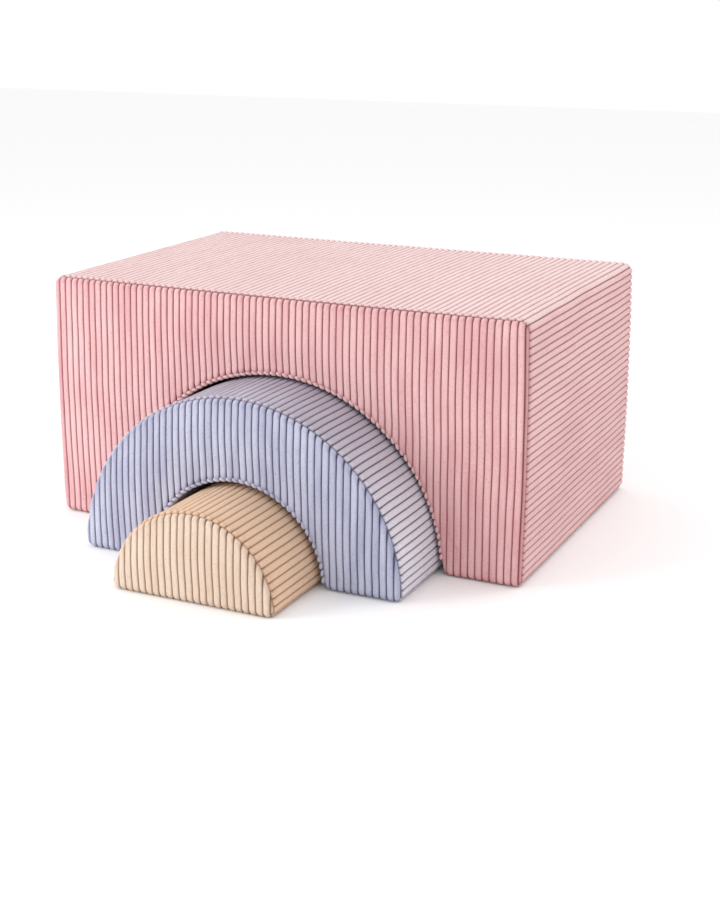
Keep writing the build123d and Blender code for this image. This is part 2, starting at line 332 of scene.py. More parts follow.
class StraightOpening:
    """The slit of a zip that runs across the back."""

    def __init__(self, body):
        lowest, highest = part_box(body + "_zip_tapes")
        self.height = (lowest[2] + highest[2]) / 2
        self.half_length = (highest[0] - lowest[0]) / 2
        coils = body + "_zip_coils"
        self.teeth_length = high(coils)[0] - low(coils)[0] - TOOTH_LENGTH
        self.half_width = SLOT_HALF - LIP

    def line(self, off, length, count):
        """Points along the zip, this far above its middle."""
        x = np.linspace(-length / 2, length / 2, count)
        return x, np.full(count, self.height + off)

    def ends(self):
        """How far out the slot starts to close, and where it is shut."""
        return self.half_length - SLOT_TAPER * TAPER_STEPS

    def inner_limit(self, limit):
        """The panel below the slot is as wide as the one above it."""
        return limit

    def gap(self, x):
        return self.half_width * np.sqrt(smooth(self.half_length - np.abs(x), 0.0, SLOT_TAPER))

    def edge(self, x, side):
        return self.height + side * self.gap(x)

    def parted(self, x, z, side):
        """The straight slot's edges are already where the panels end."""
        return x, z

    def distance(self, x, z):
        return np.abs(z - self.height) - self.gap(x)


class ArcOpening:
    """The slit of a zip that runs round an arc on the back."""

    def __init__(self):
        self.radius = (ARCH_RADIUS + HOLLOW_RADIUS) / 2
        self.half_width = SLOT_HALF - LIP
        self.half_length = ARC_HALF_ANGLE * self.radius
        self.teeth_length = 2 * (self.half_length - COIL_SETBACK) - TOOTH_LENGTH

    def line(self, off, length, count):
        """Points round the zip's arc, this far outside its middle."""
        turn = np.linspace(-length / 2, length / 2, count) / self.radius
        reach = self.radius + off
        return reach * np.sin(turn), reach * np.cos(turn)

    def inner_limit(self, limit):
        """The panel inside the arc is no wider than the arc."""
        return self.radius - END_GAP

    def ends(self):
        """How far out the slot starts to close, and where it is shut."""
        return self.radius * np.sin(ARC_HALF_ANGLE - SLOT_TAPER * TAPER_STEPS / self.radius)

    def gap(self, angle):
        short = (ARC_HALF_ANGLE - np.abs(angle)) * self.radius
        return self.half_width * np.sqrt(smooth(short, 0.0, SLOT_TAPER))

    def edge(self, x, side):
        """The zip's middle line above each x, where the panels meet if the slot is shut."""
        return arc_height(self.radius, x)

    def parted(self, x, z, side):
        """A panel's points moved off the middle line, as the slot opens in the cloth."""
        reach, turn = np.hypot(x, z), np.arctan2(x, z)
        spread = 1.0 - smooth(side * (reach - self.radius), 0.0, PARTED_REACH)
        wider = reach + side * self.gap(turn) * spread
        return wider * np.sin(turn), wider * np.cos(turn)

    def distance(self, x, z):
        return np.abs(np.hypot(x, z) - self.radius) - self.gap(np.arctan2(x, z))


SLITS = {
    "block": StraightOpening("block"),
    "arch": ArcOpening(),
    "half_round": StraightOpening("half_round"),
}


def label_hold(shape, x, z):
    """0 where the sewn-on label holds the cover flat, 1 well away from it."""
    lowest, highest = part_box(shape.body + "_care_label")
    beside = np.maximum(np.maximum(lowest[0] - x, x - highest[0]), 0.0)
    above = np.maximum(np.maximum(lowest[2] - z, z - highest[2]), 0.0)
    return smooth(np.hypot(beside, above), LABEL_EASE, LABEL_REACH)


# --- Sheets of cloth ------------------------------------------------------------------


def grid_faces(rows, columns, flip):
    """Four-cornered faces over a grid of points, wound to face outwards."""
    index = np.arange(rows * columns).reshape(rows, columns)
    corners = [index[:-1, :-1], index[:-1, 1:], index[1:, 1:], index[1:, :-1]]
    if flip:
        corners.reverse()
    return np.stack([corner.ravel() for corner in corners], axis=1)


def framed(grid):
    """The grid with its border points repeated, for the turned-in edge of the cloth."""
    return np.pad(grid, 1, mode="edge")


def make_sheet(name, points, outward, across, along, rim, plump, hold, flip):
    """A mesh from grids of points, with what the wales need to know stored on it."""
    rows, columns = across.shape
    x, y, z = (framed(part) for part in points)
    tuck = np.pad(np.zeros((rows, columns)), 1, constant_values=1.0)
    mesh = bpy.data.meshes.new(name)
    vertices = np.stack([x.ravel(), y.ravel(), z.ravel()], axis=1)
    faces = grid_faces(rows + 2, columns + 2, flip)
    mesh.from_pydata(vertices.tolist(), [], faces.tolist())
    values = {"across": across, "along": along, "rim": rim, "plump": plump, "hold": hold}
    values = {key: framed(value) for key, value in values.items()}
    for key, value in {**values, "tuck": tuck}.items():
        mesh.attributes.new(key, "FLOAT", "POINT").data.foreach_set("value", value.ravel())
    normals = np.stack([framed(part).ravel() for part in outward], axis=1)
    stored = mesh.attributes.new("outward", "FLOAT_VECTOR", "POINT")
    stored.data.foreach_set("vector", normals.ravel())
    sheet = bpy.data.objects.new(name, mesh)
    bpy.context.scene.collection.objects.link(sheet)
    return sheet


def eased_edge(from_edge, seam_depth):
    """How far a sheet leans over its rounded edge, how far it still faces out, and its
    distance along the cloth from the seam."""
    lean = np.clip((EDGE_RADIUS - from_edge) / EDGE_RADIUS, 0.0, STEEPEST_LEAN)
    seam_angle = math.asin(1.0 - seam_depth / EDGE_RADIUS)
    round_edge = EDGE_RADIUS * (seam_angle - np.arcsin(lean))
    flat = EDGE_RADIUS * (seam_angle - 1) + from_edge
    return lean, np.sqrt(1.0 - lean**2), np.where(from_edge < EDGE_RADIUS, round_edge, flat)


def face_sheet(name, shape, facing, seed, side, drift):
    """A flat panel with upright wales, curled over at its edges. Where a zip splits the
    panel, side is 1 for the piece above or outside it and -1 for the one below or inside
    it; it is 0 for a whole panel."""
    plane = shape.ends.front if facing == FRONT else shape.ends.back
    opening = SLITS[shape.body] if side else None
    limit = shape.limit(SEAM_INSET)
    if side < 0:
        limit = opening.inner_limit(limit)
    columns = wale_columns(-limit, limit, FACE_PHASE * seed)
    if opening:
        columns = np.union1d(columns, np.concatenate([-opening.ends(), opening.ends()]))
    bottom = shape.low(columns, SEAM_INSET)
    top = shape.high(columns, SEAM_INSET)
    if side > 0:
        bottom = np.maximum(bottom, opening.edge(columns, side))
    if side < 0:
        top = np.minimum(top, opening.edge(columns, side))
    z = bottom + row_places(np.maximum(top - bottom, END_GAP))
    across = np.broadcast_to(columns, z.shape).copy()
    distance = shape.edge_distance(across, z)
    free = smooth(distance, HELD, FREE_IN_FACE)
    if opening:
        free = free * smooth(opening.distance(across, z), 0.0, FREE_BY_ZIP)
    x = across + sway(across, z, drift, seed) * free
    if opening:
        x, z = opening.parted(x, z, side)
    distance = shape.edge_distance(x, z)
    slope_x = shape.edge_distance(x + SLOPE_STEP, z) - shape.edge_distance(x - SLOPE_STEP, z)
    slope_z = shape.edge_distance(x, z + SLOPE_STEP) - shape.edge_distance(x, z - SLOPE_STEP)
    slope = np.maximum(np.hypot(slope_x, slope_z), SMALLEST)
    lean, upright, rim = eased_edge(distance, SEAM_INSET)
    y = plane - facing * EDGE_RADIUS * (1.0 - upright)
    outward = (-slope_x / slope * lean, facing * upright, -slope_z / slope * lean)
    if opening:
        rim = np.minimum(rim, np.maximum(opening.distance(x, z), 0.0))
    rim = np.maximum(rim, 0.0)
    hold = label_hold(shape, x, z) if facing == BACK else np.ones_like(x)
    loose = hold
    if opening:
        loose = hold * smooth(opening.distance(x, z), ZIP_FLAT_START, ZIP_FLAT_END)
    flip = facing == BACK
    points = blown_out(soften(shape, x, y, z), outward, FACE_SWELL * loose, flip)
    plump = smooth(z, FACE_ROLL_FROM, FACE_ROLL_FULL) * loose
    return make_sheet(name, points, outward, across, z, rim, plump, hold, flip)


Arc = namedtuple("Arc", "x z radius start end hollow")
Run = namedtuple("Run", "x z to_x to_z out_x out_z")


def stretch_length(part):
    if isinstance(part, Arc):
        return part.radius * abs(math.radians(part.end - part.start))
    return math.hypot(part.to_x - part.x, part.to_z - part.z)


def follow(section, places):
    """Points and outward directions at these lengths along a section of runs and arcs."""
    x, z = np.zeros_like(places), np.zeros_like(places)
    out_x, out_z = np.zeros_like(places), np.zeros_like(places)
    begin = 0.0
    for part in section:
        length = stretch_length(part)
        here = (places >= begin - SMALLEST) & (places <= begin + length + SMALLEST)
        t = (places[here] - begin) / length
        if isinstance(part, Arc):
            angle = np.radians(part.start + (part.end - part.start) * t)
            side = -1.0 if part.hollow else 1.0
            x[here] = part.x + part.radius * np.cos(angle)
            z[here] = part.z + part.radius * np.sin(angle)
            out_x[here], out_z[here] = side * np.cos(angle), side * np.sin(angle)
        else:
            x[here] = part.x + (part.to_x - part.x) * t
            z[here] = part.z + (part.to_z - part.z) * t
            out_x[here], out_z[here] = part.out_x, part.out_z
        begin += length
    return x, z, out_x, out_z


def band_sheet(name, shape, section, seed, swell, drift):
    """A band of cloth along a section, from the front seam to the back seam, with its
    wales running from front to back."""
    ends = shape.ends
    total = sum(stretch_length(part) for part in section)
    columns = wale_columns(0.0, total, BAND_PHASE * seed)
    start, end = ends.front + SEAM_SETBACK, ends.back - SEAM_SETBACK
    y = start + row_places(np.full_like(columns, end - start))
    across = np.broadcast_to(columns, y.shape).copy()
    from_side = np.minimum(across, total - across)
    from_seam = np.minimum(y - start, end - y)
    free = smooth(from_seam, HELD, FREE_IN_BAND) * smooth(from_side, HELD, FREE_BY_SIDE)
    places = np.clip(across + sway(across, y, drift, seed) * free, 0.0, total)
    x, z, out_x, out_z = follow(section, places)
    from_end = np.minimum(y - ends.front, ends.back - y)
    lean, upright, rim = eased_edge(from_end, SEAM_SETBACK)
    inset = EDGE_RADIUS * (1.0 - upright)
    towards = np.where(y - ends.front < ends.back - y, FRONT, BACK)
    x = x - out_x * inset
    z = z - out_z * inset
    outward = (out_x * upright, towards * lean, out_z * upright)
    rim = np.maximum(np.minimum(rim, from_side), 0.0)
    points = blown_out(soften(shape, x, y, z), outward, swell * np.ones_like(x), flip=False)
    plump = smooth(z, BAND_ROLL_FROM, BAND_ROLL_FULL)
    return make_sheet(name, points, outward, across, y, rim, plump, np.ones_like(x), flip=False)


# --- How each piece gives over its foam -----------------------------------------------


def soften(shape, x, y, z):
    """The slow sag of the block's top, deeper at its front, and the belly of its sides.
    The arch and the half-round keep their shape."""
    if shape is BLOCK:
        into = (y - BLOCK_ENDS.front) / (BLOCK_ENDS.back - BLOCK_ENDS.front)
        hang = (1.0 - (x / BLOCK_HALF) ** 2) * smooth(z, SAG_FROM, BLOCK_HEIGHT)
        z = z - TOP_SAG * hang * (1.0 - 0.6 * into)
        belly = smooth(z, 0.02, 0.15) * smooth(BLOCK_HEIGHT - z, 0.0, 0.12)
        x = x + SIDE_BELLY * np.sign(x) * smooth(np.abs(x), BELLY_FROM, BLOCK_HALF) * belly
    return x, y, z


# --- The swell of a cover held at its seams, from a cloth simulation ------------------


def spaced(points, axis):
    """Rows or columns of a fine grid, about a cloth step apart, the ends among them."""
    steps = np.sqrt(sum(np.diff(part, axis=axis) ** 2 for part in points))
    travelled = np.concatenate(([0.0], np.cumsum(steps.max(axis=1 - axis))))
    wanted = np.linspace(0.0, travelled[-1], max(int(travelled[-1] / CLOTH_STEP), 4) + 1)
    return np.unique(np.searchsorted(travelled, wanted - SMALLEST)), travelled


def simulated(points, flip):
    """Where the points of a coarse sheet go when it is blown out with its border held.
    flip winds the faces as the sheet itself is wound, so the pressure acts outwards."""
    rows, columns = points[0].shape
    mesh = bpy.data.meshes.new("cloth form")
    start = np.stack([part.ravel() for part in points], axis=1)
    mesh.from_pydata(start.tolist(), [], grid_faces(rows, columns, flip).tolist())
    form = bpy.data.objects.new("cloth form", mesh)
    bpy.context.scene.collection.objects.link(form)
    border = np.ones((rows, columns), bool)
    border[1:-1, 1:-1] = False
    held = form.vertex_groups.new(name="seams")
    held.add(np.flatnonzero(border.ravel()).tolist(), 1.0, "REPLACE")
    cloth = form.modifiers.new("cloth", "CLOTH")
    cloth.settings.vertex_group_mass = "seams"
    cloth.settings.use_pressure = True
    cloth.settings.uniform_pressure_force = CLOTH_PRESSURE
    cloth.settings.effector_weights.gravity = 0.0
    cloth.point_cache.frame_start = 1
    cloth.point_cache.frame_end = CLOTH_FRAMES
    for step in range(1, CLOTH_FRAMES + 1):
        bpy.context.scene.frame_set(step)
    evaluated = form.evaluated_get(bpy.context.evaluated_depsgraph_get())
    moved = np.empty(rows * columns * 3)
    evaluated.data.vertices.foreach_get("co", moved)
    bpy.data.objects.remove(form)
    bpy.context.scene.frame_set(1)
    return (moved.reshape(-1, 3) - start).reshape(rows, columns, 3)


def blown_out(points, outward, swell, flip):
    """The sheet moved out as cloth under pressure, scaled so that its highest point rises
    no further than the swell."""
    highest_rise = swell.max()
    if highest_rise == 0.0:
        return points
    (picked_rows, down), (picked_columns, over) = spaced(points, 0), spaced(points, 1)
    pick = np.ix_(picked_rows, picked_columns)
    move = simulated([part[pick] for part in points], flip)
    whole = [np.broadcast_to(part, points[0].shape) for part in outward]
    facing = np.stack([part[pick] for part in whole], axis=2)
    bulge = np.maximum((move * facing).sum(axis=2), 0.0)
    bulge *= min(1.0, highest_rise / max(bulge.max(), SMALLEST))
    fine = np.stack([np.interp(over, over[picked_columns], line) for line in bulge])
    fine = np.stack([np.interp(down, down[picked_rows], line) for line in fine.T], axis=1)
    fine = fine * swell / highest_rise
    return tuple(part + direction * fine for part, direction in zip(points, outward))


# --- Node helpers ---------------------------------------------------------------------


class Sums:
    """Short names for the arithmetic in a node tree."""

    def __init__(self, tree):
        self.tree = tree

    def node(self, kind, **settings):
        made = self.tree.nodes.new(kind)
        for key, value in settings.items():
            setattr(made, key, value)
        return made

    def feed(self, socket, value):
        if isinstance(value, bpy.types.NodeSocket):
            self.tree.links.new(value, socket)
        else:
            socket.default_value = value

    def math(self, operation, *values):
        made = self.node("ShaderNodeMath", operation=operation)
        for socket, value in zip(made.inputs, values):
            self.feed(socket, value)
        return made.outputs[0]

    def add(self, a, b):
        return self.math("ADD", a, b)

    def less(self, a, b):
        return self.math("SUBTRACT", a, b)

    def times(self, a, b):
        return self.math("MULTIPLY", a, b)

    def over(self, a, b):
        return self.math("DIVIDE", a, b)

    def bell(self, distance, width):
        """1 where the distance is 0, falling to nothing past the width."""
        ratio = self.over(distance, width)
        return self.math("EXPONENT", self.times(self.times(ratio, ratio), -1.0))


def new_tree(name, inputs):
    """A geometry tree with a geometry input and output and these named inputs."""
    tree = bpy.data.node_groups.new(name, "GeometryNodeTree")
    tree.interface.new_socket("Geometry", in_out="INPUT", socket_type="NodeSocketGeometry")
    for label, kind, value in inputs:
        socket = tree.interface.new_socket(label, in_out="INPUT", socket_type=kind)
        if value is not None:
            socket.default_value = value
    tree.interface.new_socket("Geometry", in_out="OUTPUT", socket_type="NodeSocketGeometry")
    return tree


def set_inputs(modifier, **values):
    """Sets a modifier's inputs by their sockets' identifiers."""
    for item in modifier.node_group.interface.items_tree:
        key = item.name.replace(" ", "_").lower()
        if item.in_out == "INPUT" and key in values:
            modifier[item.identifier] = values[key]


def settled(obj):
    """The object with its modifiers worked into a plain mesh."""
    depsgraph = bpy.context.evaluated_depsgraph_get()
    mesh = bpy.data.meshes.new_from_object(obj.evaluated_get(depsgraph))
    mesh.name = obj.name
    obj.modifiers.clear()
    obj.data = mesh
    return obj


def finish_tree(sums, geometry, cloth):
    """Smooth shading, real geometry and the material, as every tree here ends."""
    smooth_node = sums.node("GeometryNodeSetShadeSmooth")
    sums.feed(smooth_node.inputs["Geometry"], geometry)
    real = sums.node("GeometryNodeRealizeInstances")
    sums.feed(real.inputs["Geometry"], smooth_node.outputs[0])
    dressed = sums.node("GeometryNodeSetMaterial")
    sums.feed(dressed.inputs["Geometry"], real.outputs[0])
    sums.feed(dressed.inputs["Material"], cloth)
    sums.feed(sums.node("NodeGroupOutput").inputs["Geometry"], dressed.outputs[0])


def read_attribute(sums, name, kind="FLOAT"):
    node = sums.node("GeometryNodeInputNamedAttribute", data_type=kind)
    node.inputs["Name"].default_value = name
    return node.outputs["Attribute"]


def wales_tree():
    """Grows wales, their grooves, the row of beads beside a seam and the ditch in it."""
    tree = new_tree("wales", (
        ("Wale pitch", "NodeSocketFloat", WALE_PITCH),
        ("Wale height", "NodeSocketFloat", 0.0019),
        ("Wale crown", "NodeSocketFloat", 0.0004),
        ("Groove width", "NodeSocketFloat", 0.0008),
        ("Seam roll", "NodeSocketFloat", 0.0017),
        ("Seam ditch", "NodeSocketFloat", 0.0011),
        ("Seam gather", "NodeSocketFloat", 0.35),
        ("Unevenness", "NodeSocketFloat", 0.0005),
        ("Phase", "NodeSocketFloat", 0.0),
        ("Seed", "NodeSocketFloat", 1.0),
        ("Cloth", "NodeSocketMaterial", None),
    ))
    sums = Sums(tree)
    given = sums.node("NodeGroupInput").outputs
    across, along = read_attribute(sums, "across"), read_attribute(sums, "along")
    rim, tuck = read_attribute(sums, "rim"), read_attribute(sums, "tuck")
    outward = read_attribute(sums, "outward", "FLOAT_VECTOR")
    turn = sums.over(sums.less(across, given["Phase"]), given["Wale pitch"])
    part = sums.math("FRACT", turn)
    off_groove = sums.math("MINIMUM", part, sums.less(1.0, part))
    off_top = sums.times(sums.less(0.5, off_groove), 2.0)

    beside_seam = sums.bell(sums.less(rim, EDGE_INSET), EDGE_WIDTH)
    gather = sums.add(1.0, sums.times(beside_seam, given["Seam gather"]))
    width = sums.times(given["Groove width"], gather)
    groove = sums.bell(sums.times(off_groove, given["Wale pitch"]), width)
    crown = sums.times(sums.math("POWER", off_top, 4.0), given["Wale crown"])

    place = sums.node("ShaderNodeCombineXYZ")
    sums.feed(place.inputs[0], sums.times(sums.math("FLOOR", turn), LUMP_SHIFT))
    sums.feed(place.inputs[1], sums.times(along, LUMPS_PER_METRE))
    sums.feed(place.inputs[2], given["Seed"])
    lumps = sums.node("ShaderNodeTexNoise", noise_dimensions="3D")
    lumps.inputs["Scale"].default_value = 1.0
    lumps.inputs["Detail"].default_value = 2.0
    sums.feed(lumps.inputs["Vector"], place.outputs[0])
    lump = sums.times(sums.less(lumps.outputs["Fac"], 0.5), given["Unevenness"])

    ditch = sums.bell(rim, DITCH_WIDTH)
    roll = sums.bell(sums.less(rim, ROLL_INSET), ROLL_WIDTH)
    roll = sums.times(roll, read_attribute(sums, "plump"))
    bead = sums.less(1.0, sums.times(off_top, off_top))
    depth = sums.times(sums.times(groove, given["Wale height"]), gather)
    depth = sums.add(depth, crown)
    depth = sums.add(depth, sums.times(lump, 2.0))
    depth = sums.add(depth, sums.times(ditch, given["Seam ditch"]))
    depth = sums.less(depth, sums.times(sums.times(roll, bead), given["Seam roll"]))
    depth = sums.add(depth, sums.times(tuck, TUCK_DEPTH))
    held = sums.less(1.0, read_attribute(sums, "hold"))
    depth = sums.add(depth, sums.times(held, LABEL_PRESS))

    scale = sums.node("ShaderNodeVectorMath", operation="SCALE")
    sums.feed(scale.inputs[0], outward)
    sums.feed(scale.inputs["Scale"], sums.times(depth, -1.0))
    move = sums.node("GeometryNodeSetPosition")
    sums.feed(move.inputs["Geometry"], given["Geometry"])
    sums.feed(move.inputs["Offset"], scale.outputs[0])
    geometry = move.outputs[0]
    # groove and seam go to the material: the grooves darken there as ground cloth with painted
    # shade, the seam's ditch as painted shade
    for name, value in (("groove", groove), ("seam", ditch), ("edge", beside_seam)):
        keep = sums.node("GeometryNodeStoreNamedAttribute", data_type="FLOAT", domain="POINT")
        keep.inputs["Name"].default_value = name
        sums.feed(keep.inputs["Geometry"], geometry)
        sums.feed(keep.inputs["Value"], value)
        geometry = keep.outputs[0]
    finish_tree(sums, geometry, given["Cloth"])
    return tree


def row_tree():
    """Sets small round-ended lengths along a line: coil turns, stitches or beads."""
    tree = new_tree("row", (
        ("Pitch", "NodeSocketFloat", STITCH_PITCH),
        ("Length", "NodeSocketFloat", 0.0026),
        ("Width", "NodeSocketFloat", 0.0006),
        ("Height", "NodeSocketFloat", 0.0005),
        ("Slant", "NodeSocketFloat", 0.0),
        ("Sides", "NodeSocketInt", 8),
        ("Cloth", "NodeSocketMaterial", None),
    ))
    sums = Sums(tree)
    given = sums.node("NodeGroupInput").outputs
    curve = sums.node("GeometryNodeMeshToCurve")
    sums.feed(curve.inputs[0], given["Geometry"])
    spots = sums.node("GeometryNodeCurveToPoints", mode="LENGTH")
    sums.feed(spots.inputs["Curve"], curve.outputs[0])
    sums.feed(spots.inputs["Length"], given["Pitch"])
    bead = sums.node("GeometryNodeMeshUVSphere")
    sums.feed(bead.inputs["Segments"], given["Sides"])
    sums.feed(bead.inputs["Rings"], given["Sides"])
    bead.inputs["Radius"].default_value = 0.5
    size = sums.node("ShaderNodeCombineXYZ")
    for socket, name in zip(size.inputs, ("Length", "Width", "Height")):
        sums.feed(socket, given[name])
    shaped = sums.node("GeometryNodeTransform")
    sums.feed(shaped.inputs["Geometry"], bead.outputs[0])
    sums.feed(shaped.inputs["Scale"], size.outputs[0])
    slant = sums.node("ShaderNodeCombineXYZ")
    sums.feed(slant.inputs[2], given["Slant"])
    leaning = sums.node("GeometryNodeTransform")
    sums.feed(leaning.inputs["Geometry"], shaped.outputs[0])
    sums.feed(leaning.inputs["Rotation"], slant.outputs[0])
    turned = sums.node("FunctionNodeAlignEulerToVector", axis="X")
    sums.feed(turned.inputs["Vector"], spots.outputs["Tangent"])
    upright = sums.node("FunctionNodeAlignEulerToVector", axis="Z", pivot_axis="X")
    sums.feed(upright.inputs["Rotation"], turned.outputs[0])
    upright.inputs["Vector"].default_value = (0.0, 1.0, 0.0)
    copies = sums.node("GeometryNodeInstanceOnPoints")
    sums.feed(copies.inputs["Points"], spots.outputs["Points"])
    sums.feed(copies.inputs["Instance"], leaning.outputs[0])
    sums.feed(copies.inputs["Rotation"], upright.outputs[0])
    finish_tree(sums, copies.outputs[0], given["Cloth"])
    return tree


# --- Materials ------------------------------------------------------------------------


def shade(red, green, blue):
    """A colour given as it is seen, as the shader's own linear colour."""
    channels = []
    for value in (red, green, blue):
        v = value / 255
        channels.append(v / 12.92 if v <= 0.04045 else ((v + 0.055) / 1.055) ** 2.4)
    return (*channels, 1.0)


def new_material(name):
    material = bpy.data.materials.new(name)
    material.use_nodes = True
    tree = material.node_tree
    tree.nodes.clear()
    sums = Sums(tree)
    surface = sums.node("ShaderNodeBsdfPrincipled")
    output = sums.node("ShaderNodeOutputMaterial")
    tree.links.new(surface.outputs[0], output.inputs[0])
    return material, sums, surface


def blend_colours(sums, share, a, b):
    mix = sums.node("ShaderNodeMix", data_type="RGBA", blend_type="MIX")
    sums.feed(mix.inputs[0], share)
    sums.feed(mix.inputs[6], a)
    sums.feed(mix.inputs[7], b)
    return mix.outputs[2]


def cloud(sums, scale, detail, stretch=(1.0, 1.0, 1.0), roughness=0.5):
    """Noise over the object's own space, drawn out along an axis if asked."""
    place = sums.node("ShaderNodeTexCoord")
    mapping = sums.node("ShaderNodeMapping")
    mapping.inputs["Scale"].default_value = stretch
    sums.feed(mapping.inputs["Vector"], place.outputs["Object"])
    noise = sums.node("ShaderNodeTexNoise", noise_dimensions="3D")
    noise.inputs["Scale"].default_value = scale
    noise.inputs["Detail"].default_value = detail
    noise.inputs["Roughness"].default_value = roughness
    sums.feed(noise.inputs["Vector"], mapping.outputs[0])
    return noise.outputs["Fac"]


def step_between(sums, value, start, end):
    ramp = sums.node("ShaderNodeMapRange", interpolation_type="SMOOTHSTEP")
    sums.feed(ramp.inputs["Value"], value)
    ramp.inputs["From Min"].default_value = start
    ramp.inputs["From Max"].default_value = end
    return ramp.outputs["Result"]


# The pile's pattern: how many patches, streaks, fibres and bright tips come to a metre
PATCHES, STREAKS, FIBRES, TIPS = 6.0, 60.0, 420.0, 300.0

# How much of each shows: brushed patches, streaks and edges, less where the cloth faces
# up and the painted top light takes over; dark fibres; bright tips; the dark of the grooves,
# ground cloth with painted shade; and the painted shade in the seams' ditches
PATCH_SHARE, STREAK_SHARE, EDGE_SHARE, UPWARD_LOSS = 0.34, 0.46, 0.45, 0.6
FIBRE_SHARE, TIP_SHARE = 0.42, 0.25
GROOVE_CLOTH_AND_SHADE, DITCH_PAINTED_SHADE = 0.95, 0.55


def corduroy(name, pile, brushed, dark, upper, nap):
    """Cut pile with a nap: pile colour on the wales, patches brushed the other way, dark
    grooves (the ground cloth, darkened further as painted shade), loose fibres, and painted
    light where the cloth faces up: the upper colour, lighter on top for most dyes and darker on
    the blue band's top. nap is the noise's stretch along the wales."""
    material, sums, surface = new_material(name)
    groove = sums.node("ShaderNodeAttribute", attribute_name="groove").outputs["Fac"]
    seam = sums.node("ShaderNodeAttribute", attribute_name="seam").outputs["Fac"]
    edge = sums.node("ShaderNodeAttribute", attribute_name="edge").outputs["Fac"]
    facing = sums.node("ShaderNodeSeparateXYZ")
    outward = sums.node("ShaderNodeAttribute", attribute_name="outward")
    sums.feed(facing.inputs[0], outward.outputs["Vector"])
    # Painted light: the pile turns to the upper colour as the cloth faces up, lighter on top for
    # most dyes and darker on the blue band's top
    painted_top_light_share = step_between(sums, facing.outputs[2], 0.15, 0.95)
    pile_under_painted_top_light = blend_colours(sums, painted_top_light_share, pile, upper)
    patches = step_between(sums, cloud(sums, PATCHES, 4.0), 0.40, 0.70)
    streaks = step_between(sums, cloud(sums, STREAKS, 3.0, nap), 0.35, 0.75)
    turned = sums.add(sums.times(patches, PATCH_SHARE), sums.times(streaks, STREAK_SHARE))
    turned = sums.add(turned, sums.times(edge, EDGE_SHARE))
    # Brushed patches fade where the cloth faces up, so that the painted top light shows there
    turned = sums.times(turned, sums.less(1.0, sums.times(painted_top_light_share, UPWARD_LOSS)))
    wale = blend_colours(sums, sums.math("MINIMUM", turned, 1.0), pile_under_painted_top_light, brushed)
    fibres = cloud(sums, FIBRES, 3.0, (1.0, 1.0, 1.0), 0.75)
    fleck = step_between(sums, fibres, 0.50, 0.78)
    wale = blend_colours(sums, sums.times(fleck, FIBRE_SHARE), wale, dark)
    bright = step_between(sums, cloud(sums, TIPS, 2.0), 0.55, 0.80)
    wale = blend_colours(sums, sums.times(bright, TIP_SHARE), wale, upper)
    # The grooves darken toward the dark colour: partly the ground cloth between the wales, partly
    # painted shade in the groove
    groove_dark_and_shade = sums.times(sums.math("POWER", groove, 0.8), GROOVE_CLOTH_AND_SHADE)
    cloth = blend_colours(sums, sums.math("MINIMUM", groove_dark_and_shade, 1.0), wale, dark)
    # Painted shade: the seam's ditch darkens toward the dark colour
    cloth = blend_colours(sums, sums.times(seam, DITCH_PAINTED_SHADE), cloth, dark)
    sums.feed(surface.inputs["Base Color"], cloth)
    surface.inputs["Roughness"].default_value = 0.95
    surface.inputs["Specular IOR Level"].default_value = 0.12
    surface.inputs["Sheen Weight"].default_value = 0.08
    surface.inputs["Sheen Roughness"].default_value = 0.5
    surface.inputs["Sheen Tint"].default_value = brushed
    bump = sums.node("ShaderNodeBump")
    bump.inputs["Strength"].default_value = 0.75
    bump.inputs["Distance"].default_value = 0.0009
    sums.feed(bump.inputs["Height"], fibres)
    sums.feed(surface.inputs["Normal"], bump.outputs[0])
    return material


UPRIGHT = (1.0, 1.0, 0.18)
LENGTHWISE = (1.0, 0.18, 1.0)

# Each cloth: its pile, the pile brushed the other way, its grooves (ground cloth with
# painted shade), the pile seen from above (painted top light: lighter for most dyes, darker
# on the blue band), and which way its wales run. A piece's face and band are one cloth;
# their colours are set apart partly for the nap's lie and partly as painted light for how
# the light falls on each.
DYES = {
    "pink_face": ((238, 194, 194), (217, 156, 160), (150, 82, 88), (242, 206, 204), UPRIGHT),
    "pink_band": ((238, 200, 199), (226, 180, 181), (158, 96, 102), (240, 216, 214), LENGTHWISE),
    "blue_face": ((202, 204, 224), (162, 164, 191), (82, 80, 108), (214, 214, 232), UPRIGHT),
    # The blue band's pile is lifted and its top darkened: painted light for how the light falls
    # on the band
    "blue_band": ((238, 236, 243), (224, 221, 232), (94, 84, 104), (182, 176, 190), LENGTHWISE),
    "sand_face": ((230, 210, 192), (214, 188, 166), (154, 118, 96), (236, 216, 198), UPRIGHT),
    "sand_band": ((236, 202, 174), (224, 188, 158), (178, 140, 112), (230, 198, 170), LENGTHWISE),
}
PILE_DEPTH = 0.91


def deepened(colour):
    """Cut pile holds a little of the light that a flat cloth would give back."""
    return tuple(channel * PILE_DEPTH for channel in colour[:3]) + (1.0,)


CLOTHS = {}
for dye, (pile, brushed, dark, upper, nap) in DYES.items():
    shades = [deepened(shade(*colour)) for colour in (pile, brushed, dark, upper)]
    CLOTHS[dye] = corduroy(dye.replace("_", " ") + " corduroy", *shades, nap)


